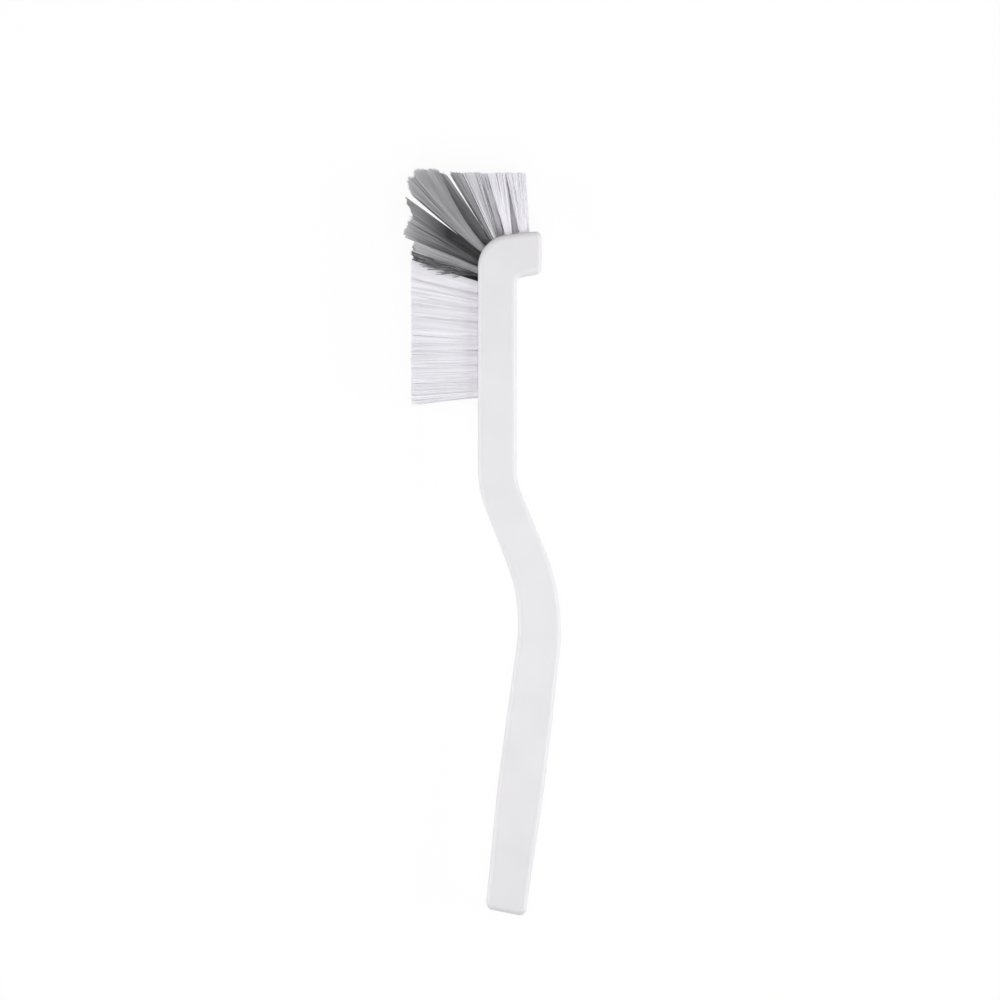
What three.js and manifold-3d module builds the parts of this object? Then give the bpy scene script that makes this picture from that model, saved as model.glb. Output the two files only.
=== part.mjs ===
// A long-handled scrub brush: one moulded handle with a hooked head, tufts of bristle set in
// holes round the head's nose, and the flat wire anchors that pin each tuft in its hole.
//
// Millimetres and degrees. The brush lies on its side: X runs from the bristle tips to the hook,
// Y from the tail to the head, and Z across the brush, up from the side it lies on.
// The origin is on that side, on the neck's centreline, where the straight neck starts to bend.

import * as THREE from 'three';
import { mergeGeometries, mergeVertices } from 'three/addons/utils/BufferGeometryUtils.js';
import Module from 'manifold-3d';

const wasm = await Module();
wasm.setup();

// Handle: the head and neck
const EDGE_RADIUS = 2; // rounding where the flat sides meet the outline
const EDGE_RIM = 0.3; // flat beside the tuft field, before that rounding
const HEAD_THICKNESS = 13.2; // front face, with the tufts, to back face
const NECK_LENGTH = 24.3; // start of the first bend to the lowest end of the tuft field
const NOSE_RADIUS = 10.4; // outside turn from the front face to the top face
const TOP_RISE = 7; // how far the top face climbs towards the hook's end, in degrees
const HOOK_LAND = 0.2; // flat top past the last tufts, before the hook's rounded end
const HOOK_THICKNESS = 14.2; // top face to the underside, at the hook's end
const HOOK_SLOPE = 11; // how far the underside falls towards the neck, in degrees
const HOOK_FILLET = 2.6; // inside corner between the underside and the back face
const CORNER_EXTRA = 0.3; // the outline's corners are this much rounder than its edges

// Handle: the bent grip
const FIRST_BEND_RADIUS = 30.4;
const FIRST_BEND_ANGLE = 21.8; // the grip turns back by this much
const BETWEEN_BENDS = 20.7;
const SECOND_BEND_RADIUS = 64.1;
const GRIP_LEAN = 7.1; // and forward again, to lean this much the other way
const GRIP_LENGTH = 90.1; // the straight part, to the tail
const GRIP_THICKNESS = 15.8; // at the swell
const SWELL_TO_TAIL = 44; // from the thickest point to the tail
const TAIL_THICKNESS = 13.9;
const TAIL_SKEW = 4.5; // the tail is cut this much off square, longer at the back, in degrees

// Tuft pattern, along the head's outside and across it
const COLUMNS = 3;
const FACE_ROWS = 8;
// Degrees off the front in each row round the nose and on the top: outer columns, then the middle one
const NOSE_LEANS = [[22, 17.5], [34, 27], [48.5, 55], [65.5, 71.5]];
const TOP_LEANS = [[79.5, 81], [83.5, 85]];
const FACE_LEAN_UP = 13; // lean of the face's highest tufts, towards the nose
const FACE_LEAN_DOWN = 4; // lean of its lowest tufts, towards the tail
const NOSE_LEAD = 2.3; // the first nose row stands this far below the start of the turn
const STAGGER = 2; // the middle column stands this much further from the middle of the nose
const COLUMN_WALL = 1.8; // between holes, across the brush
const NOSE_WALL = 1.9; // between the rows of holes round the nose and on the top
const FACE_WALL = 2.1; // between the face's rows of holes

// Tuft holes, folded roots and anchors
const HOLE_DIAMETER = 2.8;
const TUFT_GRIP = 1.7; // packed bristle over the anchor
const ANCHOR_BITE = 0.4; // how far the anchor runs into the wall on both sides of the hole
const ANCHOR_HEIGHT = 1.6;
const ANCHOR_THICKNESS = 0.4;
const FOLD_THICKNESS = 0.7; // bristle that passes under the anchor
const BACKING = 1.2; // slice of the head that each field of bristles is fused to
const FIELD_MARGIN = 0.5; // backing past the outermost holes
const GAP = 0.2; // clearance between pieces that seat in each other

// Bristles
const STRANDS_IN_RING = 8; // round one more in the tuft's middle
const STRAND_RADIUS = 0.25;
const STRAND_TIP_RADIUS = 0.2;
const STRAND_SIDES = 3;
const FACE_BRISTLE_LENGTH = 22.7; // front face to the straight cut in front of it
const TOP_BRISTLE_LENGTH = 19.7; // the hook's highest corner to the straight cut above it
const NOSE_EXTRA_LENGTH = 1.7; // the nose bristles stand this far past both cuts
const FACE_SPREAD = 3.5; // how far a tuft's outer strands splay along the head, in degrees
const NOSE_SPREAD = 5;
const TIPS_WIDTH = 16; // across the brush, between the outermost tips

// Facets
const ARC_STEP = 9; // degrees in one facet of an arc
const EDGE_FACETS = 3;
const GRIP_FACETS = 12; // along the straight grip
const HOLE_SIDES = 8;

// Sizes that follow from those
const { degToRad, lerp, smoothstep, clamp } = THREE.MathUtils;
const COLUMN_PITCH = HOLE_DIAMETER + COLUMN_WALL;
const NOSE_PITCH = HOLE_DIAMETER + NOSE_WALL;
const FACE_PITCH = HOLE_DIAMETER + FACE_WALL;
const FIELD_END = HOLE_DIAMETER / 2 + FIELD_MARGIN; // from the middle of the last holes
const FIELD_WIDTH = (COLUMNS - 1) * COLUMN_PITCH + 2 * FIELD_END;
const WIDTH = FIELD_WIDTH + 2 * (GAP + EDGE_RIM + EDGE_RADIUS);
const FRONT = -HEAD_THICKNESS / 2;
const BACK = HEAD_THICKNESS / 2;
const LOWEST_TUFT = NECK_LENGTH + FIELD_END;
const FIRST_NOSE_ROW = LOWEST_TUFT + STAGGER + FACE_ROWS * FACE_PITCH;
const LAST_TOP_ROW = FIRST_NOSE_ROW + (NOSE_LEANS.length + TOP_LEANS.length - 1) * NOSE_PITCH;
const FIELD_FINISH = LAST_TOP_ROW + STAGGER + FIELD_END;
const NOSE_START = FIRST_NOSE_ROW + NOSE_LEAD;
const NOSE_TURN = degToRad(90 - TOP_RISE);
const NOSE_END = NOSE_START + NOSE_RADIUS * NOSE_TURN;
const NOSE_CORNER = NOSE_START + NOSE_RADIUS * Math.tan(NOSE_TURN / 2); // where front and top would meet
const CORNER_RADIUS = EDGE_RADIUS + CORNER_EXTRA;
const HOOK_END = headAt(FIELD_FINISH + GAP).point.x + HOOK_LAND + CORNER_RADIUS;
const HOOK_TOP = NOSE_CORNER + (HOOK_END - FRONT) * Math.tan(degToRad(TOP_RISE));
const ROOT_DEPTH = BACKING + TUFT_GRIP + ANCHOR_HEIGHT + FOLD_THICKNESS + 2 * GAP;
const HOLE_DEPTH = ROOT_DEPTH + GAP;
const ANCHOR_TOP = -BACKING - TUFT_GRIP - GAP; // from the surface, along the tuft
const ANCHOR_LENGTH = HOLE_DIAMETER + 2 * ANCHOR_BITE;
const RING_RADIUS = HOLE_DIAMETER / 2 - GAP - STRAND_RADIUS;
const SIDE_FLARE = TIPS_WIDTH / ((COLUMNS - 1) * COLUMN_PITCH + 2 * RING_RADIUS);

const handleMaterial = new THREE.MeshStandardMaterial({
  color: 0xe9e8ea,
  roughness: 0.42,
  metalness: 0,
});
const whiteBristle = new THREE.MeshStandardMaterial({
  color: 0xe6e6ea,
  roughness: 0.5,
  metalness: 0,
});
const greyBristle = new THREE.MeshStandardMaterial({
  color: 0x6f6d70,
  roughness: 0.5,
  metalness: 0,
});
const anchorWire = new THREE.MeshStandardMaterial({
  color: 0xb9bbbe,
  roughness: 0.35,
  metalness: 1,
});

// Solids

function solidFrom(geometry) {
  const bare = geometry.index ? geometry.toNonIndexed() : geometry.clone();
  bare.deleteAttribute('normal');
  bare.deleteAttribute('uv');
  const merged = mergeVertices(bare);
  return new wasm.Manifold(
    new wasm.Mesh({
      numProp: 3,
      vertProperties: merged.attributes.position.array,
      triVerts: new Uint32Array(merged.index.array),
    }),
  );
}

function geometryFrom(solid) {
  const mesh = solid.getMesh();
  const geometry = new THREE.BufferGeometry();
  geometry.setAttribute('position', new THREE.BufferAttribute(mesh.vertProperties, mesh.numProp));
  geometry.setIndex(new THREE.BufferAttribute(mesh.triVerts, 1));
  geometry.computeVertexNormals();
  return geometry;
}

function namedMesh(name, geometry, material) {
  const mesh = new THREE.Mesh(geometry, material);
  mesh.name = name;
  return mesh;
}

// A closed outline through corners of { x, y, radius }, where a corner with a radius becomes an arc.
function roundedShape(corners) {
  const points = corners.flatMap(({ x, y, radius = 0 }, i) => {
    const corner = new THREE.Vector2(x, y);
    if (radius === 0) return [corner];
    const before = corners.at(i - 1);
    const after = corners[(i + 1) % corners.length];
    const toBefore = new THREE.Vector2(before.x, before.y).sub(corner).normalize();
    const toAfter = new THREE.Vector2(after.x, after.y).sub(corner).normalize();
    const half = Math.acos(toBefore.dot(toAfter)) / 2;
    const start = corner.clone().addScaledVector(toBefore, radius / Math.tan(half));
    const inward = toBefore.clone().add(toAfter).normalize();
    const centre = corner.clone().addScaledVector(inward, radius / Math.sin(half));
    const turn = -Math.sign(toBefore.cross(toAfter)) * (Math.PI - 2 * half);
    const steps = Math.ceil(Math.abs(turn) / degToRad(ARC_STEP));
    const at = (k) => start.clone().rotateAround(centre, (turn * k) / steps);
    return Array.from({ length: steps + 1 }, (_, k) => at(k));
  });
  return new THREE.Shape(points);
}

// Handle

// Stations down the grip's centreline, from the end of the neck to the tail.
function gripStations() {
  const back = degToRad(FIRST_BEND_ANGLE);
  const forward = back + degToRad(GRIP_LEAN);
  const bendSteps = (turn) => Math.ceil(turn / degToRad(ARC_STEP)) * 2;
  const runs = [
    { length: FIRST_BEND_RADIUS * back, turn: back, steps: bendSteps(back) },
    { length: BETWEEN_BENDS, turn: 0, steps: 3 },
    { length: SECOND_BEND_RADIUS * forward, turn: -forward, steps: bendSteps(forward) },
    { length: GRIP_LENGTH, turn: 0, steps: GRIP_FACETS },
  ];
  const point = new THREE.Vector2(0, 0);
  let heading = 0;
  let distance = 0;
  const stations = [{ point: point.clone(), heading, distance }];
  for (const { length, turn, steps } of runs) {
    const step = turn / steps;
    const chord = step === 0 ? length / steps : (2 * length * Math.sin(step / 2)) / turn;
    for (let k = 0; k < steps; k++) {
      const along = heading + step / 2;
      point.x += chord * Math.sin(along);
      point.y -= chord * Math.cos(along);
      heading += step;
      distance += length / steps;
      stations.push({ point: point.clone(), heading, distance });
    }
  }
  return stations;
}

function gripThickness(distance, tail) {
  const swell = tail - SWELL_TO_TAIL;
  const grown = lerp(HEAD_THICKNESS, GRIP_THICKNESS, smoothstep(distance, 0, swell));
  return grown + (TAIL_THICKNESS - GRIP_THICKNESS) * smoothstep(distance, swell, tail);
}

// The handle's side outline: down the front, round the tail, up the back and round the hook.
function handleShape() {
  const stations = gripStations();
  const tail = stations.at(-1).distance;
  const edge = (side) =>
    stations.map(({ point, heading, distance }) => ({
      x: point.x + (side * gripThickness(distance, tail) * Math.cos(heading)) / 2,
      y: point.y + (side * gripThickness(distance, tail) * Math.sin(heading)) / 2,
    }));
  const front = edge(-1);
  const back = edge(1);
  const { heading } = stations.at(-1);
  const skew = (TAIL_THICKNESS / 2) * Math.tan(degToRad(TAIL_SKEW));
  const tailCorner = ({ x, y }, longer) => ({
    x: x + longer * Math.sin(heading),
    y: y - longer * Math.cos(heading),
    radius: CORNER_RADIUS,
  });

  const underside = HOOK_TOP - HOOK_THICKNESS;
  const throat = underside - (HOOK_END - BACK) * Math.tan(degToRad(HOOK_SLOPE));
  return roundedShape([
    { x: FRONT, y: NOSE_CORNER, radius: NOSE_RADIUS },
    ...front.slice(0, -1),
    tailCorner(front.at(-1), -skew),
    tailCorner(back.at(-1), skew),
    ...back.slice(0, -1).reverse(),
    { x: BACK, y: throat, radius: HOOK_FILLET },
    { x: HOOK_END, y: underside, radius: CORNER_RADIUS },
    { x: HOOK_END, y: HOOK_TOP, radius: CORNER_RADIUS },
  ]);
}

function handleBlank() {
  const blank = new THREE.ExtrudeGeometry(handleShape(), {
    depth: WIDTH - 2 * EDGE_RADIUS,
    bevelThickness: EDGE_RADIUS,
    bevelSize: EDGE_RADIUS,
    bevelOffset: -EDGE_RADIUS,
    bevelSegments: EDGE_FACETS,
  });
  return solidFrom(blank.translate(0, 0, EDGE_RADIUS));
}

// Head surface

// A point on the head's outside and its outward direction, at a distance from the start of the
// first bend: up the front face, round the nose, then along the top.
function headAt(distance) {
  const turn = clamp((distance - NOSE_START) / NOSE_RADIUS, 0, NOSE_TURN);
  const outward = new THREE.Vector2(-Math.cos(turn), Math.sin(turn));
  const onward = new THREE.Vector2(Math.sin(turn), Math.cos(turn));
  const straight = Math.min(distance - NOSE_START, 0) + Math.max(distance - NOSE_END, 0);
  const point = new THREE.Vector2(FRONT + NOSE_RADIUS, NOSE_START);
  point.addScaledVector(outward, NOSE_RADIUS).addScaledVector(onward, straight);
  return { point, outward };
}

// A curved slab of the head between two distances along its outside and two depths under it,
// centred on a place across the brush.
function headBand(from, to, shallow, deep, width, middle = WIDTH / 2) {
  const step = NOSE_RADIUS * degToRad(ARC_STEP);
  const distances = [from];
  for (let at = NOSE_START; at < NOSE_END + step / 2; at += step) {
    if (at > from + step / 4 && at < to - step / 4) distances.push(at);
  }
  distances.push(to);
  const edge = (depth) =>
    distances.map((distance) => {
      const { point, outward } = headAt(distance);
      return point.addScaledVector(outward, -depth);
    });
  const shape = new THREE.Shape([...edge(shallow), ...edge(deep).reverse()]);
  const band = new THREE.ExtrudeGeometry(shape, { depth: width, bevelEnabled: false });
  return solidFrom(band.translate(0, 0, middle - width / 2));
}

// Tuft pattern

// The lean of the face's tufts: down at the lowest, and more and more up towards the nose.
function faceLean(distance) {
  const up = (distance - LOWEST_TUFT) / (FIRST_NOSE_ROW - FACE_PITCH - LOWEST_TUFT);
  return FACE_LEAN_UP * up ** 2 - FACE_LEAN_DOWN * (1 - up) ** 2;
}

// Round the nose the holes fan out evenly, though the bristles do not.
function noseHoleLean(distance) {
  const along = (distance - FIRST_NOSE_ROW) / (LAST_TOP_ROW - FIRST_NOSE_ROW);
  return lerp(NOSE_LEANS[0][0], TOP_LEANS.at(-1)[0], along);
}

// Every row, from the lowest on the face to the last on the top: the tufts of its outer columns,
// and the staggered one of its middle column, with the lean of the bristles and of the hole.
function tuftRows() {
  const faceTuft = (distance) => {
    const lean = faceLean(distance);
    return { distance, lean, holeLean: lean };
  };
  const noseTuft = (distance, lean) => ({ distance, lean, holeLean: noseHoleLean(distance) });
  const face = Array.from({ length: FACE_ROWS }, (_, i) => {
    const distance = FIRST_NOSE_ROW - (FACE_ROWS - i) * FACE_PITCH;
    return [faceTuft(distance), faceTuft(distance - STAGGER)];
  });
  const nose = [...NOSE_LEANS, ...TOP_LEANS].map(([outer, middle], i) => {
    const distance = FIRST_NOSE_ROW + i * NOSE_PITCH;
    const stagger = i < NOSE_LEANS.length / 2 ? -STAGGER : STAGGER;
    return [noseTuft(distance, outer), noseTuft(distance + stagger, middle)];
  });
  return [...face, ...nose];
}

// Each field is one run of rows of one colour, with where its stretch of the head starts and ends
// in the outer columns and in the middle one.
function bristleFields() {
  const rows = tuftRows();
  const between = (row, next) => row.map((tuft, k) => (tuft.distance + next[k].distance) / 2);
  const limits = [
    [NECK_LENGTH, NECK_LENGTH],
    ...rows.slice(1).map((row, i) => between(rows[i], row)),
    [FIELD_FINISH, FIELD_FINISH],
  ];
  const field = (name, material, from, count, spread, extra) => ({
    name,
    material,
    spread,
    extra,
    rows: rows.slice(from, from + count),
    starts: limits[from],
    ends: limits[from + count],
  });
  const nose = NOSE_LEANS.length;
  const top = TOP_LEANS.length;
  return [
    field('white_face_bristles', whiteBristle, 0, FACE_ROWS, FACE_SPREAD, 0),
    field('grey_nose_bristles', greyBristle, FACE_ROWS, nose, NOSE_SPREAD, NOSE_EXTRA_LENGTH),
    field('white_top_bristles', whiteBristle, FACE_ROWS + nose, top, NOSE_SPREAD, 0),
  ];
}

function columnPlaces() {
  const side = (column) => column - (COLUMNS - 1) / 2;
  return Array.from({ length: COLUMNS }, (_, column) => WIDTH / 2 + side(column) * COLUMN_PITCH);
}

// Every tuft of a row: its place on the head and its leans.
function tuftsOf(row) {
  return columnPlaces().map((z, column) => {
    const tuft = row[column % row.length];
    return { ...tuft, point: headAt(tuft.distance).point, z };
  });
}

// A tuft's own frame: Y along its hole, out of the head, and Z across the brush.
function tuftFrame({ point, holeLean, z }) {
  const frame = new THREE.Group();
  frame.position.set(point.x, point.y, z);
  frame.rotation.z = degToRad(90 - holeLean);
  frame.updateMatrix();
  return frame;
}

// Tuft holes and folded roots

function box(thickness, from, to, length) {
  const made = new THREE.BoxGeometry(thickness, from - to, length);
  return made.translate(0, (from + to) / 2, 0);
}

function cylinder(diameter, from, to) {
  const made = new THREE.CylinderGeometry(diameter / 2, diameter / 2, from - to, HOLE_SIDES);
  return made.translate(0, (from + to) / 2, 0);
}

// The blind hole, with the narrow slot that its anchor is driven down.
function tuftHole(frame) {
  const slotFloor = ANCHOR_TOP - ANCHOR_HEIGHT - GAP;
  const slot = box(ANCHOR_THICKNESS + 2 * GAP, 0, slotFloor, ANCHOR_LENGTH + 2 * GAP);
  const hole = cylinder(HOLE_DIAMETER, 0, -HOLE_DEPTH);
  const cut = solidFrom(hole).add(solidFrom(slot));
  return cut.transform(frame.matrix.elements);
}

// The packed fold of bristle in the hole, open where the anchor passes through it.
function tuftRoot(frame) {
  const top = ANCHOR_TOP + GAP;
  const bottom = ANCHOR_TOP - ANCHOR_HEIGHT - GAP;
  const fold = cylinder(HOLE_DIAMETER - 2 * GAP, -BACKING / 2, -ROOT_DEPTH);
  const window = box(ANCHOR_THICKNESS + 2 * GAP, top, bottom, HOLE_DIAMETER);
  return solidFrom(fold).subtract(solidFrom(window)).transform(frame.matrix.elements);
}

function anchorGeometry() {
  return box(ANCHOR_THICKNESS, ANCHOR_TOP, ANCHOR_TOP - ANCHOR_HEIGHT, ANCHOR_LENGTH);
}

// Bristles

// A tapered strand from root to tip, with flat ends.
function strandGeometry(root, tip) {
  const length = root.distanceTo(tip);
  const strand = new THREE.CylinderGeometry(STRAND_TIP_RADIUS, STRAND_RADIUS, length, STRAND_SIDES);
  strand.translate(0, length / 2, 0);
  const up = new THREE.Vector3(0, 1, 0);
  const along = tip.clone().sub(root).normalize();
  strand.applyQuaternion(new THREE.Quaternion().setFromUnitVectors(up, along));
  return strand.translate(root.x, root.y, root.z);
}

// How far a strand runs before it meets the cut in front of the head or the one above it.
function trimmedLength(root, along, extra) {
  const frontCut = FRONT - FACE_BRISTLE_LENGTH - extra;
  const topCut = HOOK_TOP + TOP_BRISTLE_LENGTH + extra;
  const toFront = along.x < 0 ? (frontCut - root.x) / along.x : Infinity;
  const toTop = along.y > 0 ? (topCut - root.y) / along.y : Infinity;
  return Math.min(toFront, toTop);
}

function tuftStrands(tuft, { spread, extra }) {
  const frame = tuftFrame(tuft);
  const offsets = [new THREE.Vector2(0, 0)];
  for (let k = 0; k < STRANDS_IN_RING; k++) {
    const turn = (2 * Math.PI * (k + 0.5)) / STRANDS_IN_RING;
    offsets.push(new THREE.Vector2(Math.cos(turn), Math.sin(turn)));
  }
  return offsets.map((offset) => {
    const root = new THREE.Vector3(offset.x * RING_RADIUS, -BACKING / 2, offset.y * RING_RADIUS);
    root.applyMatrix4(frame.matrix);
    const lean = degToRad(tuft.lean + spread * offset.x);
    const along = new THREE.Vector3(-Math.cos(lean), Math.sin(lean), 0);
    const tip = root.clone().addScaledVector(along, trimmedLength(root, along, extra));
    tip.z = lerp(WIDTH / 2, root.z, SIDE_FLARE);
    return strandGeometry(root, tip);
  });
}

// A field's slice of the head: as long as its longest columns, and cut back beside them on the rest.
function fieldBacking({ starts, ends }) {
  const start = Math.min(...starts) + GAP / 2;
  const end = Math.max(...ends) - GAP / 2;
  const notch = (from, to, z) => headBand(from, to, -BACKING, 2 * BACKING, COLUMN_PITCH + GAP, z);
  let slice = headBand(start, end, 0, BACKING, FIELD_WIDTH);
  columnPlaces().forEach((z, column) => {
    const from = starts[column % starts.length] + GAP / 2;
    const to = ends[column % ends.length] - GAP / 2;
    if (from > start) slice = slice.subtract(notch(start - GAP, from, z));
    if (to < end) slice = slice.subtract(notch(to, end + GAP, z));
  });
  return slice;
}

// One field: its slice of backing, the folded roots under it and the strands over it.
function fieldGeometry(field) {
  const tufts = field.rows.flatMap(tuftsOf);
  const addRoot = (solid, tuft) => solid.add(tuftRoot(tuftFrame(tuft)));
  const rooted = tufts.reduce(addRoot, fieldBacking(field));
  const strands = mergeGeometries(tufts.flatMap((tuft) => tuftStrands(tuft, field)));
  return geometryFrom(rooted.add(solidFrom(strands)));
}

// Assembly

const brush = new THREE.Group();
const fields = bristleFields();
const pocketStart = NECK_LENGTH - GAP;
const pocketEnd = FIELD_FINISH + GAP;
const pocketWidth = FIELD_WIDTH + 2 * GAP;
const pocket = headBand(pocketStart, pocketEnd, -BACKING, BACKING + GAP, pocketWidth);
let handle = handleBlank().subtract(pocket);

fields.forEach((field) => {
  brush.add(namedMesh(field.name, fieldGeometry(field), field.material));
  field.rows.forEach((row, r) => {
    tuftsOf(row).forEach((tuft, c) => {
      const frame = tuftFrame(tuft);
      handle = handle.subtract(tuftHole(frame));
      const zone = field.name.replace('_bristles', '');
      const name = `${zone}_anchor_row${r + 1}_col${c + 1}`;
      frame.add(namedMesh(name, anchorGeometry(), anchorWire));
      brush.add(frame);
    });
  });
});
brush.add(namedMesh('handle', geometryFrom(handle), handleMaterial));

export default brush;
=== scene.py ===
"""A long-handled scrub brush lying on its side: a moulded handle with a hooked head, and tufts of
fine bristle fanned round the front, nose and top of the head. Metres, in the part's own frame."""

import math
from collections import namedtuple

import bpy
import numpy as np
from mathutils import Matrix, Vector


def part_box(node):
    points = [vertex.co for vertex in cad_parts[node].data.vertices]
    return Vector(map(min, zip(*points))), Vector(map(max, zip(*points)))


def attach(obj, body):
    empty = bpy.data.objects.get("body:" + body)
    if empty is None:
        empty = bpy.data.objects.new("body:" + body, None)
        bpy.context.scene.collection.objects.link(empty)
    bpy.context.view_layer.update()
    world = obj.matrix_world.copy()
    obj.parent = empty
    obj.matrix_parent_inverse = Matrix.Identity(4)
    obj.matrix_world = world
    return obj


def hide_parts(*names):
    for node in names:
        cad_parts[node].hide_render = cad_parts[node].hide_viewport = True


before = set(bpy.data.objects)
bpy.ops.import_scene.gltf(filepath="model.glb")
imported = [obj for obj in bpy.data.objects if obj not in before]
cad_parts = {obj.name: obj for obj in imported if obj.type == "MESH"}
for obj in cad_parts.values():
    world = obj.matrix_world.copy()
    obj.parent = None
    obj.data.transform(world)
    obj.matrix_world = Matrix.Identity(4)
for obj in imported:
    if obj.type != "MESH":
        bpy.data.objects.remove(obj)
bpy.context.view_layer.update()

MM = 0.001

# Handle
EDGE_RADIUS = 2.0 * MM  # rounding where the flat sides meet the outline
CORNER_RADIUS = 2.3 * MM  # outline corners at the hook's end and the tail
HEAD_THICKNESS = 13.2 * MM
NOSE_RADIUS = 11.0 * MM
NOSE_START = 68.8 * MM  # up the front, from the first bend
TOP_RISE = math.radians(7)
HOOK_END = 15.2 * MM  # from the neck's centreline
HOOK_THICKNESS = 14.2 * MM
HOOK_SLOPE = math.radians(11)
HOOK_FILLET = 2.6 * MM
FIRST_BEND_RADIUS = 30.4 * MM
FIRST_BEND = math.radians(21.8)
BETWEEN_BENDS = 20.7 * MM
SECOND_BEND_RADIUS = 64.1 * MM
GRIP_LEAN = math.radians(7.1)
GRIP_LENGTH = 90.1 * MM
GRIP_THICKNESS = 15.8 * MM
SWELL_TO_TAIL = 44.0 * MM  # from where the grip is thickest
TAIL_THICKNESS = 13.9 * MM
TAIL_SKEW = math.radians(4.5)
PARTING_WIDTH = 0.3 * MM  # the faint moulding line round the middle of the outline
PARTING_HEIGHT = 0.05 * MM
HANDLE_SHARP = math.radians(40)  # faces that meet at more than this keep a sharp edge

# Tuft pattern
COLUMNS = 3
COLUMN_PITCH = 4.6 * MM
FACE_ROWS = 8
FACE_PITCH = 4.84 * MM
NOSE_PITCH = 4.7 * MM  # round the nose and on the top
NOSE_LEAD = 1.9 * MM  # the first nose row stands this far below the start of the turn
STAGGER = 2.0 * MM  # the middle column stands this much further from the nose's middle
LAST_STAGGER = 1.0 * MM  # the same for the last top row
FACE_LEAN_UP = 15.5  # degrees off the front, at the face's highest row
FACE_LEAN_DOWN = 3.2  # the same at its lowest row, the other way
HOLE_LEANS = (22.0, 83.5)  # degrees off the front, of the first nose row's holes and the last top row's
HOLE_RADIUS = 1.4 * MM
HOLE_DEPTH = 5.8 * MM

# How the tufts stand
Stance = namedtuple("Stance", "lean splay extra tilt push flare loose bow ragged unruly")


def standing(
    lean,  # degrees off the front
    splay,  # degrees that the tuft fans out to either side
    extra=0.0,  # mm past the straight cut
    tilt=0.0,  # mm that the side nearer to the hook is longer
    push=0.0,  # mm that the tuft is pushed towards the hook
    flare=0.0,  # mm that its outermost filaments flare at the head
    loose=0.0,  # the share that hangs loose, on the side away from the hook
    bow=0.0,  # mm that the side nearer to the hook bows in, halfway along
    ragged=0.1,  # mm that the cut is uneven
    unruly=0.3,  # degrees that the filaments' directions vary
):
    """A tuft's stance, with its lengths in metres."""
    lengths = [length * MM for length in (extra, tilt, push, flare, bow, ragged)]
    extra, tilt, push, flare, bow, ragged = lengths
    return Stance(lean, splay, extra, tilt, push, flare, loose, bow, ragged, unruly)


FACE_SPLAY = 2.3  # degrees
FACE_UNRULY = 0.15  # degrees
FACE_FLARE = 1.25  # mm
FACE_ENDS = {  # push and flare, mm, by row and whether it is the middle column
    (0, False): (-0.6, 2.05),
    (0, True): (0.55, FACE_FLARE),
    (FACE_ROWS - 1, False): (-0.3, 0.8),
}
NOSE_OUTER = (
    standing(19.4, 2.4, extra=-0.8, push=0.2, flare=0.3, loose=0.9, ragged=0.5),
    standing(35.4, 0.4, extra=0.4, tilt=1.2, push=0.95, flare=0.3, ragged=0.5),
    standing(49.5, 9.0, extra=0.6, tilt=0.5, push=-1.25, bow=1.35, ragged=0.8),
    standing(66.9, 7.6, push=-0.5, ragged=0.25),
)
NOSE_MIDDLE = (
    standing(19.5, 1.2, extra=-0.7, ragged=0.5),
    standing(29.0, 6.5, extra=1.0, tilt=-1.6, push=0.7, ragged=0.8),
    standing(54.5, 1.5, extra=-0.2, push=-0.6, flare=0.3, ragged=0.5),
    standing(73.0, 3.5),
)
TOP_OUTER = (standing(78.6, 4.9, flare=-0.1), standing(82.6, 5.2, push=0.15))
TOP_MIDDLE = (standing(80.5, 4.0), standing(83.0, 3.0))

# Bristles
FACE_FILAMENTS = 410  # in one tuft
NOSE_FILAMENTS = 290  # round the nose and on the top
FILAMENT_RADIUS = 0.1 * MM
FILAMENT_SIDES = 4
FILAMENT_SHARP = math.radians(80)
FACE_STEPS = (0, 1)  # shares of a filament's length at which its path has points
NOSE_STEPS = (0, 0.04, 0.16, 0.36, 0.64, 1)
PACKED_RADIUS = 1.28 * MM  # of a tuft at the mouth of its hole
ROOT_DEPTH = 1.8 * MM
COLLAR = 0.4 * MM  # a tuft flares, and turns from its hole's lean to its own, over about this length
AT_MOUTH = 0.85  # the share of that flare that a tuft has at the mouth already
LONGEST = 34.4 * MM
FACE_CUT = 22.7 * MM  # front face to the straight cut in front of it
TOP_CUT = 19.7 * MM  # hook's top to the straight cut above it
CUT_CLUMPS = 9  # across a tuft, groups of filaments that are cut alike
TIPS_WIDTH = 16.2 * MM  # across the brush, between the outermost tips
TIPS_RADIUS = 4.4 * MM  # half of one tuft's width across the brush, at its tips
MIDDLE_TIPS_RADIUS = 7.2 * MM  # the same for a tuft of the middle column
OUTSIDE_DENSER = 2.0  # 1 for tips that stand as close all through a tuft
CROWN = 0.05  # 0 for tufts with square tips, 0.5 for round ones
STRAY_SHARE = 0.008  # filaments that stand out of line
STRAY = 10  # how many times further these lean out than the others' directions vary
ASIDE = 0.07 * MM  # how far filaments stand out of their even order
TIP_ASIDE = 0.06 * MM  # the same for their tips, across the brush
WAVE = 0.4 * MM  # how far a filament waves, for every degree that directions vary
LOOSE_SIDE = -0.4  # places in a tuft's fan below this are far enough from the hook to hang loose
LOOSE_LENGTHS = (0.3, 0.95)  # shares of the full length that loose filaments have
LOOSE_WIDTH = 16.8 * MM  # across the brush, between the tips of the loose ones
SAG = 4.0 * MM  # the most, of a loose filament
SAG_POWER = 1.5  # above 1, few of them sag far

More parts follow.
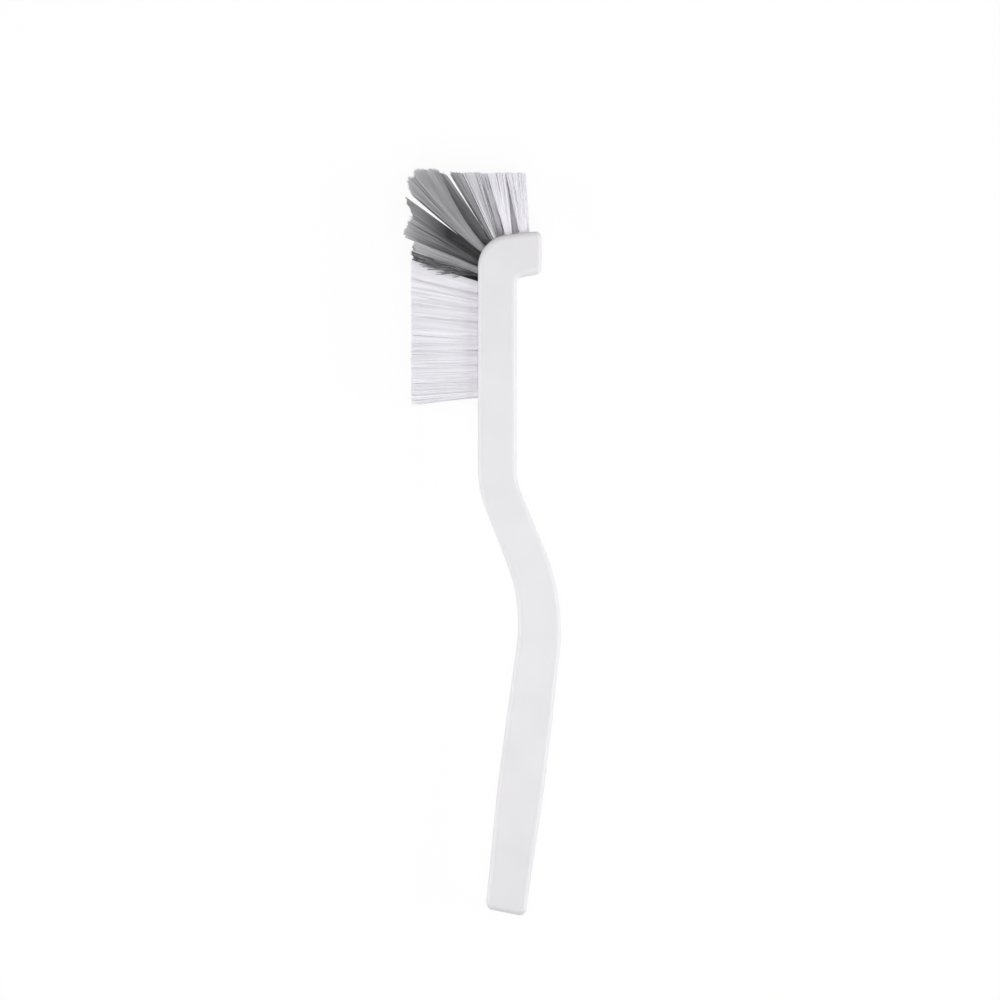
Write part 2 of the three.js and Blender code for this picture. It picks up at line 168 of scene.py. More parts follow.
# Bristle tones, from 0 for black to 1 for white
SHADES = 64  # different ones that filaments can have
# Painted light and shade: one white nylon, darker on the face and lighter on the top, so that the two
# fields render alike under this light
WHITE_SHADES_WITH_PAINTED_LIGHT = {"white_face": 0.935, "white_top": 0.98}
WHITE_VARIES = 0.006
PAINTED_SHADOW_FADES = 0.05  # the part of a tuft's fan over which its dark edge, a painted shadow, turns light
GREY_PLACES = (-1.0, LOOSE_SIDE, LOOSE_SIDE + PAINTED_SHADOW_FADES, 1.0)  # in a tuft's fan
# Partly the filaments' own greys and partly painted shade: dark tones where the shade between tufts falls
OUTER_GREYS_AND_PAINTED_SHADE = (  # at those places, for each nose row; the near-black second row is painted shade
    (0.06, 0.06, 0.41, 0.43),
    (0.02, 0.0, 0.0, 0.0),
    (0.37, 0.42, 0.44, 0.42),
    (0.41, 0.43, 0.48, 0.76),
)
MIDDLE_GREYS_AND_PAINTED_SHADE = (  # the same for the middle column; its dark tufts are painted shade
    (0.08, 0.08, 0.08, 0.1),
    (0.27, 0.29, 0.27, 0.2),
    (0.21, 0.22, 0.22, 0.36),
    (0.95, 0.95, 0.95, 1.0),
)
GREY_VARIES = 0.03
STREAKS = 15  # across a grey tuft
STREAK_VARIES = 0.08
MIXED_WHITE = 0.95  # of white filaments among the last nose row's outer ones
WHITE_SHARE = 0.3  # of these in the middle of a tuft
WHITE_SHARE_GAIN = 0.3  # how much larger that share is at the side nearer to the hook
MIXED_DARK = 0.08  # of dark filaments there
DARK_SHARE = 0.2
TIP_PAINTED_LIGHT = 0.18  # how much paler a grey filament is at its tip: painted light on the tips
DEEP_ROW = 1  # the nose row that is much paler at its tips: painted shade at its roots and painted light at its tips
DEEP_TIP_PAINTED_LIGHT = 0.37
WHITE_TIP_PAINTED_LIGHT = -0.01  # a white filament is a little darker there, which paints light towards its shaded roots
TIP_LIGHT_FROM = 0.5  # the share of the length where that starts

# Surface map of the filaments
MAP_STRIPS = 2 * SHADES  # one for each tone, and as many again for the deep row
MAP_CAP = 0.04  # the share of a strip's length at either end that holds a cut end
MAP_END = 0.4  # radius of a cut end, as a share of its strip's width or its cap's length

# Picture
VIEW_CENTRE = (0.93 * MM, -10.8 * MM)
VIEW_FIELD = 342.7 * MM  # across the picture, at the middle of the brush
LENS = 200.0
SENSOR = 36.0
FLOOR_SIZE = 6.0
WORLD_STRENGTH = 0.376
SOFTBOXES = (  # name, place, size and power in watts
    ("softbox_front", (-1.1, 0.0, 0.42), 0.8, 6.2),
    ("softbox_back", (1.1, 0.0, 0.42), 0.8, 7.4),
    ("softbox_tail", (0.0, -1.9, 1.3), 1.6, 5.0),
    ("softbox_above", (0.0, -0.04, 0.37), 0.3, 0.44),
)

# Worked out from these and the frame
handle_low, handle_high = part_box("handle")
WIDTH = handle_high.z - handle_low.z
MIDDLE = (handle_high.z + handle_low.z) / 2
FRONT = -HEAD_THICKNESS / 2
BACK = HEAD_THICKNESS / 2
NOSE_TURN = math.pi / 2 - TOP_RISE
NOSE_CORNER = NOSE_START + NOSE_RADIUS * math.tan(NOSE_TURN / 2)  # where front and top would meet
NOSE_END = NOSE_START + NOSE_RADIUS * NOSE_TURN
HOOK_TOP = NOSE_CORNER + (HOOK_END - FRONT) * math.tan(TOP_RISE)
TAIL = FIRST_BEND_RADIUS * FIRST_BEND + BETWEEN_BENDS + GRIP_LENGTH
TAIL += SECOND_BEND_RADIUS * (FIRST_BEND + GRIP_LEAN)
FIRST_NOSE_ROW = NOSE_START - NOSE_LEAD
LAST_TOP_ROW = FIRST_NOSE_ROW + (len(NOSE_OUTER) + len(TOP_OUTER) - 1) * NOSE_PITCH
MIDDLE_COLUMN = COLUMNS // 2

rng = np.random.default_rng(41)


# Handle outline

def smoothstep(value, low, high):
    t = np.clip((value - low) / (high - low), 0, 1)
    return t * t * (3 - 2 * t)


def grip_heading(distance):
    """The grip's direction at a distance down its centreline, as a turn away from straight down."""
    second_start = FIRST_BEND_RADIUS * FIRST_BEND + BETWEEN_BENDS
    back = np.clip(distance / FIRST_BEND_RADIUS, 0, FIRST_BEND)
    forward = np.clip((distance - second_start) / SECOND_BEND_RADIUS, 0, FIRST_BEND + GRIP_LEAN)
    return back - forward


def grip_centreline(distance):
    middles = (distance[1:] + distance[:-1]) / 2
    turns = grip_heading(middles)
    steps = np.stack([np.sin(turns), -np.cos(turns)], 1) * np.diff(distance)[:, None]
    return np.vstack([np.zeros(2), np.cumsum(steps, 0)])


def grip_edges(step=1.5 * MM, tail_gap=6.0 * MM):
    """Front and back edges of the grip down to its skewed tail, with a gap before the tail's corners."""
    distance = np.linspace(0, TAIL, round(TAIL / step) + 1)
    centre = grip_centreline(distance)
    swell = TAIL - SWELL_TO_TAIL
    thickness = HEAD_THICKNESS + (GRIP_THICKNESS - HEAD_THICKNESS) * smoothstep(distance, 0, swell)
    thickness += (TAIL_THICKNESS - GRIP_THICKNESS) * smoothstep(distance, swell, TAIL)
    heading = grip_heading(distance)
    across = np.stack([np.cos(heading), np.sin(heading)], 1) * thickness[:, None] / 2
    front = centre - across
    back = centre + across
    skew = np.array([math.sin(heading[-1]), -math.cos(heading[-1])]) * math.tan(TAIL_SKEW)
    front[-1] -= skew * TAIL_THICKNESS / 2
    back[-1] += skew * TAIL_THICKNESS / 2
    kept = (distance < TAIL - tail_gap) | (distance == TAIL)
    return front[kept], back[kept]


def arc(before, corner, after, radius, step):
    """Points of the arc that rounds a corner between the points before and after it."""
    to_before = (before - corner) / np.linalg.norm(before - corner)
    to_after = (after - corner) / np.linalg.norm(after - corner)
    half = math.acos(np.dot(to_before, to_after)) / 2
    inward = (to_before + to_after) / np.linalg.norm(to_before + to_after)
    centre = corner + inward * radius / math.sin(half)
    x, y = corner + to_before * radius / math.tan(half) - centre
    side = to_before[0] * to_after[1] - to_before[1] * to_after[0]
    turn = -math.copysign(math.pi - 2 * half, side)
    points = []
    for angle in np.linspace(0, turn, math.ceil(abs(turn) / step) + 1):
        cos = math.cos(angle)
        sin = math.sin(angle)
        points.append(centre + np.array([cos * x - sin * y, sin * x + cos * y]))
    return points


def rounded(corners, step=math.radians(4)):
    """A closed outline through corners of (point, radius), with each radius turned into an arc."""
    points = []
    for i, (corner, radius) in enumerate(corners):
        if radius == 0:
            points.append(corner)
        else:
            points += arc(corners[i - 1][0], corner, corners[(i + 1) % len(corners)][0], radius, step)
    return np.array(points)


def subdivided(outline, longest=2.0 * MM):
    """The outline with extra points on every stretch longer than that."""
    points = []
    for start, end in zip(outline, np.roll(outline, -1, 0)):
        pieces = max(1, math.ceil(np.linalg.norm(end - start) / longest))
        points.extend(start + (end - start) * k / pieces for k in range(pieces))
    return np.array(points)


def handle_outline():
    """Down the front, round the tail, up the back and round the hook."""
    front, back = grip_edges()
    underside = HOOK_TOP - HOOK_THICKNESS
    throat = underside - (HOOK_END - BACK) * math.tan(HOOK_SLOPE)
    corners = [(np.array([FRONT, NOSE_CORNER]), NOSE_RADIUS)]
    corners += [(point, 0) for point in front[:-1]]
    corners += [(front[-1], CORNER_RADIUS), (back[-1], CORNER_RADIUS)]
    corners += [(point, 0) for point in back[-2::-1]]
    corners += [(np.array([BACK, throat]), HOOK_FILLET)]
    corners += [(np.array([HOOK_END, underside]), CORNER_RADIUS)]
    corners += [(np.array([HOOK_END, HOOK_TOP]), CORNER_RADIUS)]
    return subdivided(rounded(corners))


def outward_normals(outline):
    edges = np.roll(outline, -1, 0) - outline
    edges /= np.linalg.norm(edges, axis=1)[:, None]
    along = edges + np.roll(edges, 1, 0)
    along /= np.linalg.norm(along, axis=1)[:, None]
    return np.stack([along[:, 1], -along[:, 0]], 1)


def edge_rings(steps=7):
    """(offset, height) of each ring round the outline, from one flat side to the other."""
    turns = np.linspace(0, math.pi / 2, steps)
    rise = [(-EDGE_RADIUS * (1 - math.sin(a)), EDGE_RADIUS * (1 - math.cos(a))) for a in turns]
    line = [(0, MIDDLE - PARTING_WIDTH / 2), (PARTING_HEIGHT, MIDDLE), (0, MIDDLE + PARTING_WIDTH / 2)]
    return rise + line + [(offset, WIDTH - height) for offset, height in reversed(rise)]


# Head surface and tuft pattern

Tuft = namedtuple("Tuft", "field row middle place height stance hole_lean")


def head_at(distance):
    """A point on the head's outside, that far up the front, round the nose and along the top."""
    turn = min(max((distance - NOSE_START) / NOSE_RADIUS, 0), NOSE_TURN)
    on_top = max(distance - NOSE_END, 0)
    x = FRONT + NOSE_RADIUS * (1 - math.cos(turn)) + on_top * math.sin(NOSE_TURN)
    y = min(distance, NOSE_START) + NOSE_RADIUS * math.sin(turn) + on_top * math.cos(NOSE_TURN)
    return np.array([x, y])


def face_lean(distance):
    """Degrees off the front of a face tuft: the lowest lean down a little and the highest lean up."""
    highest = FIRST_NOSE_ROW - FACE_PITCH
    lowest = FIRST_NOSE_ROW - FACE_ROWS * FACE_PITCH - STAGGER
    up = (distance - lowest) / (highest - lowest)
    return FACE_LEAN_UP * up**2 - FACE_LEAN_DOWN * (1 - up) ** 2


def nose_hole_lean(distance):
    """Degrees off the front of a hole round the nose or on the top, where the holes fan out evenly."""
    share = (distance - FIRST_NOSE_ROW) / (LAST_TOP_ROW - FIRST_NOSE_ROW)
    return HOLE_LEANS[0] + (HOLE_LEANS[1] - HOLE_LEANS[0]) * share


def column_height(column):
    return MIDDLE + (column - MIDDLE_COLUMN) * COLUMN_PITCH


def face_tufts():
    tufts = []
    for row in range(FACE_ROWS):
        for column in range(COLUMNS):
            middle = column == MIDDLE_COLUMN
            distance = FIRST_NOSE_ROW - (FACE_ROWS - row) * FACE_PITCH - STAGGER * middle
            lean = face_lean(distance)
            push, flare = FACE_ENDS.get((row, middle), (0, FACE_FLARE))
            stance = standing(lean, FACE_SPLAY, push=push, flare=flare, unruly=FACE_UNRULY)
            place = head_at(distance)
            tufts.append(Tuft("white_face", row, middle, place, column_height(column), stance, lean))
    return tufts


def middle_shift(row, rows):
    """How much further along the head the middle column of a nose or top row stands."""
    if row == rows - 1:
        return LAST_STAGGER
    return -STAGGER if row < len(NOSE_OUTER) / 2 else STAGGER


def nose_and_top_tufts():
    tufts = []
    outer = NOSE_OUTER + TOP_OUTER
    inner = NOSE_MIDDLE + TOP_MIDDLE
    for row in range(len(outer)):
        field = "grey_nose" if row < len(NOSE_OUTER) else "white_top"
        for column in range(COLUMNS):
            middle = column == MIDDLE_COLUMN
            distance = FIRST_NOSE_ROW + row * NOSE_PITCH + middle_shift(row, len(outer)) * middle
            stance = inner[row] if middle else outer[row]
            hole_lean = nose_hole_lean(distance)
            place = head_at(distance)
            tufts.append(Tuft(field, row, middle, place, column_height(column), stance, hole_lean))
    return tufts


def leaning(degrees):
    """Unit vectors in the brush's side plane: out of the head at that lean, and across towards the hook."""
    a = np.radians(degrees)
    out = np.stack([-np.cos(a), np.sin(a), np.zeros_like(a)], -1)
    across = np.stack([np.sin(a), np.cos(a), np.zeros_like(a)], -1)
    return out, across


# Meshes

def add_piece(name, mesh, slot, *nodes):
    piece = bpy.data.objects.new(name, mesh)
    bpy.context.scene.collection.objects.link(piece)
    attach(piece, "root")
    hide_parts(*nodes)
    return piece


def tubes(name, paths, radius, sides):
    """One mesh of closed tubes along paths, an array of (tubes, points, 3), ring after ring."""
    along = np.gradient(paths, axis=1)
    along /= np.linalg.norm(along, axis=2, keepdims=True)
    side = np.cross(along, (0.0, 0.0, 1.0))
    side /= np.linalg.norm(side, axis=2, keepdims=True)
    up = np.cross(side, along)
    turns = (np.arange(sides) + 0.5) * 2 * math.pi / sides
    rings = paths[:, :, None] + radius * (
        np.cos(turns)[:, None] * side[:, :, None] + np.sin(turns)[:, None] * up[:, :, None]
    )
    count, points = paths.shape[:2]
    corner = np.arange(count * points * sides).reshape(count, points, sides)
    after = np.roll(corner, -1, 2)
    walls = np.stack([corner[:, :-1], corner[:, 1:], after[:, 1:], after[:, :-1]], -1)
    faces = walls.reshape(-1, 4).tolist()
    faces += corner[:, 0].tolist() + corner[:, -1, ::-1].tolist()
    mesh = bpy.data.meshes.new(name)
    mesh.from_pydata(rings.reshape(-1, 3).tolist(), [], faces)
    return mesh


def handle_mesh():
    outline = handle_outline()
    normals = outward_normals(outline)
    rings = [np.c_[outline + normals * d, np.full(len(outline), z)] for d, z in edge_rings()]
    corner = np.arange(len(rings) * len(outline)).reshape(len(rings), len(outline))
    after = np.roll(corner, -1, 1)
    walls = np.stack([corner[:-1], after[:-1], after[1:], corner[1:]], -1)
    faces = walls.reshape(-1, 4).tolist() + [corner[0, ::-1].tolist(), corner[-1].tolist()]
    mesh = bpy.data.meshes.new("handle")
    mesh.from_pydata(np.concatenate(rings).tolist(), [], faces)
    return mesh


def drill_tuft_holes(handle, sides=24):
    paths = []
    for tuft in face_tufts() + nose_and_top_tufts():
        out, _ = leaning(np.array(tuft.hole_lean))
        mouth = np.array([*tuft.place, tuft.height])
        paths.append([mouth - out * HOLE_DEPTH, mouth + out * HOLE_DEPTH])
    bits = bpy.data.objects.new("bits", tubes("bits", np.array(paths), HOLE_RADIUS, sides))
    bpy.context.scene.collection.objects.link(bits)
    drill = handle.modifiers.new("holes", "BOOLEAN")
    drill.object = bits
    drill.solver = "EXACT"
    depsgraph = bpy.context.evaluated_depsgraph_get()
    drilled = bpy.data.meshes.new_from_object(handle.evaluated_get(depsgraph))
    handle.modifiers.remove(drill)
    handle.data = drilled
    bpy.data.objects.remove(bits)


def make_handle():
    handle = add_piece("handle_moulding", handle_mesh(), "handle_plastic", "handle")
    drill_tuft_holes(handle)
    handle.data.shade_smooth()
    handle.data.set_sharp_from_angle(angle=HANDLE_SHARP)
    smooth = handle.modifiers.new("weighted_normals", "WEIGHTED_NORMAL")
    smooth.keep_sharp = True
    handle.data.materials.clear()
    handle.data.materials.append(handle_plastic())


# Bristle paths

def seats(count):
    """Places of a tuft's filaments in its round hole, along and across the head, from -1 to 1."""
    k = np.arange(count)
    turn = k * math.pi * (3 - math.sqrt(5)) + rng.uniform(0, 2 * math.pi)  # by the golden angle
    seat = np.sqrt((k + 0.5) / count)
    return seat * np.cos(turn), seat * np.sin(turn)


def leans(stance, fan):
    """Degrees off the front of each filament, with a few out of line."""
    count = len(fan)
    stray = np.where(rng.random(count) < STRAY_SHARE, rng.normal(0, STRAY * stance.unruly, count), 0)
    return stance.lean + stance.splay * fan + rng.normal(0, stance.unruly, count) + stray


def trimmed_lengths(starts, out, extra, flattest=1e-6):
    """How far each filament runs before it meets the cut in front of the head or the one above it."""
    to_front = (FRONT - FACE_CUT - extra - starts[:, 0]) / np.minimum(out[:, 0], -flattest)
    to_top = (HOOK_TOP + TOP_CUT + extra - starts[:, 1]) / np.maximum(out[:, 1], flattest)
    return np.minimum(np.minimum(to_front, to_top), LONGEST)


def uneven(fan, ragged):
    """Differences in length, in which filaments that stand together are cut alike."""
    clumps = np.interp(fan, np.linspace(-1, 1, CUT_CLUMPS), rng.normal(0, ragged, CUT_CLUMPS))
    return clumps + rng.normal(0, ragged / 2, len(fan))


def filament_lengths(stance, fan, loose, starts, out):
    trimmed = trimmed_lengths(starts, out, stance.extra + stance.tilt * fan)
    cut = trimmed + uneven(fan, stance.ragged)
    return cut * np.where(loose, rng.uniform(*LOOSE_LENGTHS, len(fan)), 1)


def tips_across(side, place):
    """Where tips stand across the brush. The outer columns are denser on their outer side."""
    if side == 0:
        return MIDDLE + MIDDLE_TIPS_RADIUS * place
    from_outside = ((1 - side * place) / 2) ** OUTSIDE_DENSER
    return MIDDLE + side * (TIPS_WIDTH / 2 - 2 * TIPS_RADIUS * from_outside)


def tip_heights(tuft, loose, u, v):
    """Heights of a tuft's tips above the side that the brush lies on, by the filaments' seats."""
    side = np.sign(tuft.height - MIDDLE)
    tips = tips_across(side, v / (1 - u**2) ** (0.5 - CROWN)) + rng.normal(0, TIP_ASIDE, len(u))
    tips[loose] = MIDDLE + side * LOOSE_WIDTH / 2
    return tips


def bent(curve, t, across, stance, fan, loose):
    """Paths with points at shares t of their length, with sag, bow and wave added to them."""
    count = len(fan)
    sag = np.where(loose, SAG * rng.random(count) ** SAG_POWER, 0)[:, None, None]
    bow = stance.bow * (1 + fan[:, None, None]) / 2
    wave = rng.normal(0, WAVE * stance.unruly, count)[:, None, None]
    sagged = curve - (sag * t**2 + bow * 4 * (t - t**2)) * across[:, None]
    return sagged + wave * across[:, None] * np.sin(math.pi * t) ** 2


def tuft_paths(tuft):
    """Paths of one tuft's filaments, and where each stands in its fan, from -1 to 1 nearest the hook."""
    stance = tuft.stance
    on_face = tuft.field == "white_face"
    u, v = seats(FACE_FILAMENTS if on_face else NOSE_FILAMENTS)
    fan = (np.arcsin(u) + u * np.sqrt(1 - u**2)) * 2 / math.pi  # as many filaments on every degree
    loose = (fan < LOOSE_SIDE) & (rng.random(len(fan)) < stance.loose)
    out, across = leaning(leans(stance, fan))
    hole_out, hole_across = leaning(np.array(tuft.hole_lean))
    mouth = np.array([*tuft.place, tuft.height]) + PACKED_RADIUS * u[:, None] * hole_across
    mouth[:, 2] += PACKED_RADIUS * v
    aside = stance.push + stance.flare * fan + rng.normal(0, ASIDE, len(fan))
    moved = COLLAR * (hole_out - out) + aside[:, None] * across
    length = filament_lengths(stance, fan, loose, mouth + moved, out)
    reach = out * length[:, None]
    reach[:, 2] = tip_heights(tuft, loose, u, v) - mouth[:, 2]
    t = np.array(FACE_STEPS if on_face else NOSE_STEPS)[None, :, None]
    settled = 1 - (1 - AT_MOUTH) * np.exp(-t * length[:, None, None] / COLLAR)
    straight = mouth[:, None] + settled * moved[:, None] + t * reach[:, None]
    root = (mouth - hole_out * ROOT_DEPTH)[:, None]
    return np.concatenate([root, bent(straight, t, across, stance, fan, loose)], 1), fan


def lengths_along(paths):
    """How far along its filament each point of a path lies, from 0 to 1."""
    steps = np.linalg.norm(np.diff(paths, axis=1), axis=2)
    run = np.cumsum(steps, 1)
    return np.concatenate([np.zeros((len(paths), 1)), run], 1) / run[:, -1:]


# Bristle tones

# The white fields' shades, with the top's lighter white as painted light
def white_tone(tuft, fan):
    return WHITE_SHADES_WITH_PAINTED_LIGHT[tuft.field] + rng.normal(0, WHITE_VARIES, len(fan))


def grey_tone_with_painted_shade(tuft, fan):
    """Shades across each grey tuft, partly the filaments' own greys and partly painted shade: light with a
    dark edge of painted shadow, dark where shade is painted, light, and grey mixed with white.
    """
    greys_and_shade = MIDDLE_GREYS_AND_PAINTED_SHADE if tuft.middle else OUTER_GREYS_AND_PAINTED_SHADE
    streaks = np.interp(fan, np.linspace(-1, 1, STREAKS), rng.normal(1, STREAK_VARIES, STREAKS))
    shade = np.interp(fan, GREY_PLACES, greys_and_shade[tuft.row]) * streaks + rng.normal(0, GREY_VARIES, len(fan))
    if tuft.middle or tuft.row < len(greys_and_shade) - 1:
        return shade
    chance = rng.random(len(fan))
    with_dark = np.where(chance > 1 - DARK_SHARE, MIXED_DARK, shade)
    return np.where(chance < WHITE_SHARE + WHITE_SHARE_GAIN * fan, MIXED_WHITE, with_dark)


# Painted light at the tips: grey tips paler, the deep row's much paler, white ones a little darker
def painted_tip_light(tuft):
    if tuft.field != "grey_nose":
        return WHITE_TIP_PAINTED_LIGHT
    return DEEP_TIP_PAINTED_LIGHT if tuft.row == DEEP_ROW else TIP_PAINTED_LIGHT


# Bristle meshes

def wall_places(level, along):
    """Where the corners of the filaments' sides lie on the surface map, by strip and place along it."""
    edge = np.arange(FILAMENT_SIDES)
    v = MAP_CAP + (1 - 2 * MAP_CAP) * np.repeat(along[:, :, None], FILAMENT_SIDES, 2)
    here = np.broadcast_to((level + edge / FILAMENT_SIDES) / MAP_STRIPS, v.shape)
    after = np.broadcast_to((level + (edge + 1) / FILAMENT_SIDES) / MAP_STRIPS, v.shape)
    walls_u = np.stack([here[:, :-1], here[:, 1:], after[:, 1:], after[:, :-1]], -1)
    walls_v = np.stack([v[:, :-1], v[:, 1:], v[:, 1:], v[:, :-1]], -1)
    return np.stack([walls_u.ravel(), walls_v.ravel()], 1)


def end_places(level):
    """Where the corners of the filaments' roots, and then of their cut tips, lie on the surface map."""
    turns = np.arange(FILAMENT_SIDES) * 2 * math.pi / FILAMENT_SIDES
    u = np.tile((level[:, 0] + 0.5 + MAP_END * np.cos(turns)) / MAP_STRIPS, (2, 1))
    round_end = np.tile(MAP_END * MAP_CAP * np.sin(turns), (len(level), 1))
    v = np.concatenate([MAP_CAP / 2 + round_end, 1 - MAP_CAP / 2 + round_end])
    return np.stack([u.ravel(), v.ravel()], 1)


def lay_out_by_shade(mesh, shades, painted_tip_lights, along):
    """A surface map on which filaments of like shades share a strip."""
    level = (np.round(shades * (SHADES - 1)) + SHADES * (painted_tip_lights > TIP_PAINTED_LIGHT))[:, None, None]
    places = np.concatenate([wall_places(level, along), end_places(level)])
    mesh.uv_layers.new(name="OFBake").data.foreach_set("uv", places.ravel())


def keep_on_corners(mesh, label, values):
    mesh.attributes.new(label, "FLOAT", "POINT").data.foreach_set("value", values)


def bristle_mesh(name, tufts, tone):
    """Some tufts' filaments as closed tubes, with each one's shade and the place along it."""
    paths, shades, painted_tip_lights = [], [], []
    for tuft in tufts:
        path, fan = tuft_paths(tuft)
        paths.append(path)
        shades.append(tone(tuft, fan))
        painted_tip_lights.append(np.full(len(fan), painted_tip_light(tuft)))
    paths = np.concatenate(paths)
    painted_tip_lights = np.concatenate(painted_tip_lights)
    shades = np.round(np.clip(np.concatenate(shades), 0, 1) * (SHADES - 1)) / (SHADES - 1)
    along = lengths_along(paths)
    mesh = tubes(name, paths, FILAMENT_RADIUS, FILAMENT_SIDES)
    corners = paths.shape[1] * FILAMENT_SIDES  # of one filament
    keep_on_corners(mesh, "shade", np.repeat(shades, corners))
    keep_on_corners(mesh, "painted_tip_light", np.repeat(painted_tip_lights, corners))
    keep_on_corners(mesh, "along", np.repeat(along.ravel(), FILAMENT_SIDES))
    lay_out_by_shade(mesh, shades, painted_tip_lights, along)
    mesh.shade_smooth()
    mesh.set_sharp_from_angle(angle=FILAMENT_SHARP)
    return mesh


def make_bristles():
    nose_and_top = nose_and_top_tufts()
    nose = [tuft for tuft in nose_and_top if tuft.field == "grey_nose"]
    top = [tuft for tuft in nose_and_top if tuft.field == "white_top"]
    white = bristle_nylon("white_bristle_nylon")
    grey = bristle_nylon("grey_bristle_nylon")
    fields = (
        ("white_face", face_tufts(), white_tone, white, "white_bristle"),
        ("grey_nose", nose, grey_tone_with_painted_shade, grey, "grey_bristle"),
        ("white_top", top, white_tone, white, "white_bristle"),
    )
    for name, tufts, tone, material, slot in fields:
        mesh = bristle_mesh(name + "_filaments", tufts, tone)
        mesh.materials.append(material)
        add_piece(name + "_filaments", mesh, slot, name + "_bristles")


# Materials

def new_material(name):
    material = bpy.data.materials.new(name)
    material.use_nodes = True
    nodes = material.node_tree.nodes
    return material, nodes, material.node_tree.links, nodes["Principled BSDF"]


def noise(nodes, links, scale, detail=2.0):
    place = nodes.new("ShaderNodeTexCoord")
    made = nodes.new("ShaderNodeTexNoise")
    made.inputs["Scale"].default_value = scale
    made.inputs["Detail"].default_value = detail
    links.new(place.outputs["Object"], made.inputs["Vector"])
    return made.outputs["Fac"]


def ranged(nodes, links, source, low, high, start=0.3, end=0.7):
    """A value that runs from low to high as the source runs from start to end."""
    made = nodes.new("ShaderNodeMapRange")
    made.inputs["From Min"].default_value = start
    made.inputs["From Max"].default_value = end
    made.inputs["To Min"].default_value = low
    made.inputs["To Max"].default_value = high
    links.new(source, made.inputs["Value"])
    return made.outputs["Result"]


def blended(nodes, links, factor, first, second):
    made = nodes.new("ShaderNodeMix")
    made.data_type = "RGBA"
    made.inputs["A"].default_value = (*first, 1)
    made.inputs["B"].default_value = (*second, 1)
    links.new(factor, made.inputs["Factor"])
    return made.outputs["Result"]


def attribute(nodes, label):
    made = nodes.new("ShaderNodeAttribute")
    made.attribute_name = label
    return made.outputs["Fac"]


def handle_plastic():
    """Satin white polypropylene: faint clouding, uneven gloss and a fine moulded grain."""
    material, nodes, links, shader = new_material("handle_plastic")
    clouds = ranged(nodes, links, noise(nodes, links, scale=55.0), low=0.0, high=1.0)
    colour = blended(nodes, links, clouds, (0.75, 0.74, 0.76), (0.78, 0.77, 0.79))
    links.new(colour, shader.inputs["Base Color"])
    gloss = ranged(nodes, links, noise(nodes, links, scale=140.0, detail=4.0), low=0.4, high=0.5)
    links.new(gloss, shader.inputs["Roughness"])
    shader.inputs["Subsurface Weight"].default_value = 0.2
    shader.inputs["Subsurface Radius"].default_value = (1.0, 0.95, 1.0)
    shader.inputs["Subsurface Scale"].default_value = 1.5 * MM
    grain = nodes.new("ShaderNodeBump")
    grain.inputs["Strength"].default_value = 0.12
    grain.inputs["Distance"].default_value = 0.05 * MM
    links.new(noise(nodes, links, scale=1600.0), grain.inputs["Height"])
    links.new(grain.outputs["Normal"], shader.inputs["Normal"])
    return material


def bristle_nylon(name):
    """Nylon filament in its shade, near black to white and partly painted shade, with painted light that
    changes it towards its rough cut tip.
    """
    material, nodes, links, shader = new_material(name)
    along = attribute(nodes, "along")
    towards_tip = ranged(nodes, links, along, low=0.0, high=1.0, start=TIP_LIGHT_FROM, end=1.0)
    # the filament's shade plus the painted light towards its tip
    shade = nodes.new("ShaderNodeMath")
    shade.operation = "MULTIPLY_ADD"
    links.new(towards_tip, shade.inputs[0])
    links.new(attribute(nodes, "painted_tip_light"), shade.inputs[1])
    links.new(attribute(nodes, "shade"), shade.inputs[2])
    colour = blended(nodes, links, shade.outputs[0], (0.02, 0.019, 0.021), (0.97, 0.96, 1.0))
    links.new(colour, shader.inputs["Base Color"])
    roughness = ranged(nodes, links, along, low=0.4, high=0.6, start=0.7, end=1.0)
    links.new(roughness, shader.inputs["Roughness"])
    shader.inputs["Specular IOR Level"].default_value = 0.2
    return material


def anchor_wire():
    """Flat galvanised wire, with fine drawing marks."""
    material, nodes, links, shader = new_material("anchor_wire")
    marks = noise(nodes, links, scale=4000.0, detail=3.0)
    colour = blended(nodes, links, marks, (0.5, 0.5, 0.52), (0.68, 0.68, 0.69))
    links.new(colour, shader.inputs["Base Color"])
    links.new(ranged(nodes, links, marks, low=0.28, high=0.45), shader.inputs["Roughness"])
    shader.inputs["Metallic"].default_value = 1.0
    return material


def dress_anchors():
    wire = anchor_wire()
    for name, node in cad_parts.items():
        if "_anchor_" in name:
            node.data.materials.clear()
            node.data.materials.append(wire)


# Stage

def seen_directly(nodes, links, share):
    """That share for what the camera sees straight, in a reflection or through glass, and 0 otherwise."""
    path = nodes.new("ShaderNodeLightPath")
    glossy = nodes.new("ShaderNodeMath")
    glossy.operation = "MAXIMUM"
    links.new(path.outputs["Is Camera Ray"], glossy.inputs[0])
    links.new(path.outputs["Is Glossy Ray"], glossy.inputs[1])
    either = nodes.new("ShaderNodeMath")
    either.operation = "MAXIMUM"
    links.new(glossy.outputs[0], either.inputs[0])
    links.new(path.outputs["Is Transmission Ray"], either.inputs[1])
    scaled = nodes.new("ShaderNodeMath")
    scaled.operation = "MULTIPLY"
    scaled.inputs[1].default_value = share
    links.new(either.outputs[0], scaled.inputs[0])
    return scaled.outputs[0]


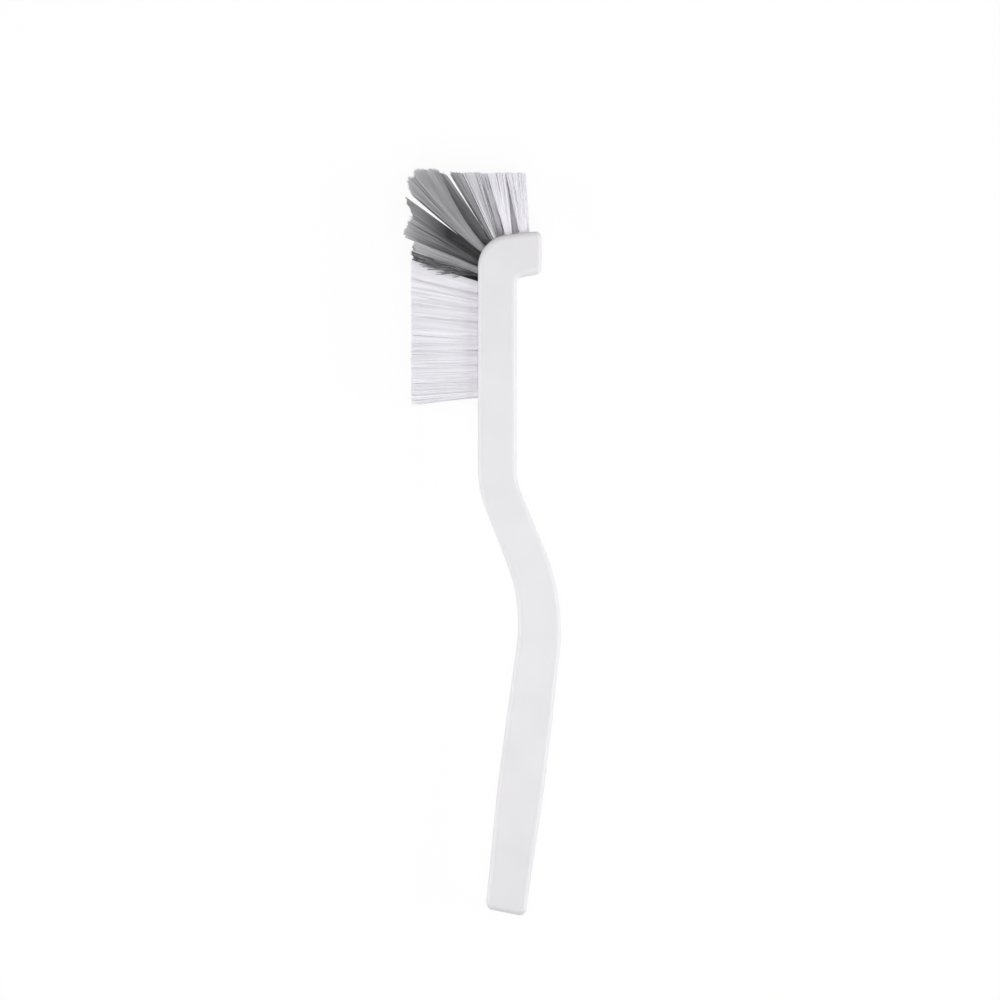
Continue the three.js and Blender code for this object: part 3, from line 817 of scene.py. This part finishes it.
def floor_paint(white_share=0.9, white_strength=1.02):
    """White paint. What the camera sees of it is mostly plain white, and the rest takes the shadow."""
    material, nodes, links, shader = new_material("floor")
    shader.inputs["Base Color"].default_value = (0.9, 0.9, 0.9, 1)
    shader.inputs["Roughness"].default_value = 0.9
    shader.inputs["Specular IOR Level"].default_value = 0.0
    white = nodes.new("ShaderNodeEmission")
    white.inputs["Strength"].default_value = white_strength
    mix = nodes.new("ShaderNodeMixShader")
    links.new(seen_directly(nodes, links, white_share), mix.inputs["Fac"])
    links.new(shader.outputs["BSDF"], mix.inputs[1])
    links.new(white.outputs["Emission"], mix.inputs[2])
    links.new(mix.outputs["Shader"], nodes["Material Output"].inputs["Surface"])
    return material


def make_floor():
    half = FLOOR_SIZE / 2
    mesh = bpy.data.meshes.new("floor")
    corners = [(-half, -half, 0), (half, -half, 0), (half, half, 0), (-half, half, 0)]
    mesh.from_pydata(corners, [], [(0, 1, 2, 3)])
    mesh.materials.append(floor_paint())
    floor = bpy.data.objects.new("floor", mesh)
    bpy.context.scene.collection.objects.link(floor)


def make_world():
    """Even light from all round, white where the camera looks straight at it."""
    world = bpy.data.worlds.new("studio")
    bpy.context.scene.world = world
    world.use_nodes = True
    nodes = world.node_tree.nodes
    links = world.node_tree.links
    brighter = nodes.new("ShaderNodeMath")
    brighter.operation = "ADD"
    brighter.inputs[1].default_value = WORLD_STRENGTH
    links.new(seen_directly(nodes, links, 1 - WORLD_STRENGTH), brighter.inputs[0])
    nodes["Background"].inputs["Color"].default_value = (1, 1, 1, 1)
    links.new(brighter.outputs[0], nodes["Background"].inputs["Strength"])


def make_softbox(name, place, size, power):
    """A square soft light that faces the middle of the brush."""
    lamp = bpy.data.lights.new(name, "AREA")
    lamp.shape = "SQUARE"
    lamp.size = size
    lamp.energy = power
    softbox = bpy.data.objects.new(name, lamp)
    softbox.location = place
    softbox.rotation_mode = "QUATERNION"
    softbox.rotation_quaternion = (-softbox.location).to_track_quat("-Z", "Y")
    bpy.context.scene.collection.objects.link(softbox)


def make_camera():
    """Straight above the brush, which lies on its side, as the picture looks at it."""
    data = bpy.data.cameras.new("camera")
    data.lens = LENS
    data.sensor_width = SENSOR
    camera = bpy.data.objects.new("camera", data)
    camera.location = (*VIEW_CENTRE, MIDDLE + VIEW_FIELD * LENS / SENSOR)
    bpy.context.scene.collection.objects.link(camera)
    bpy.context.scene.camera = camera


def make_stage():
    bpy.context.scene.view_settings.view_transform = "Standard"
    make_camera()
    make_floor()
    make_world()
    for softbox in SOFTBOXES:
        make_softbox(*softbox)


make_stage()
make_handle()
make_bristles()
dress_anchors()
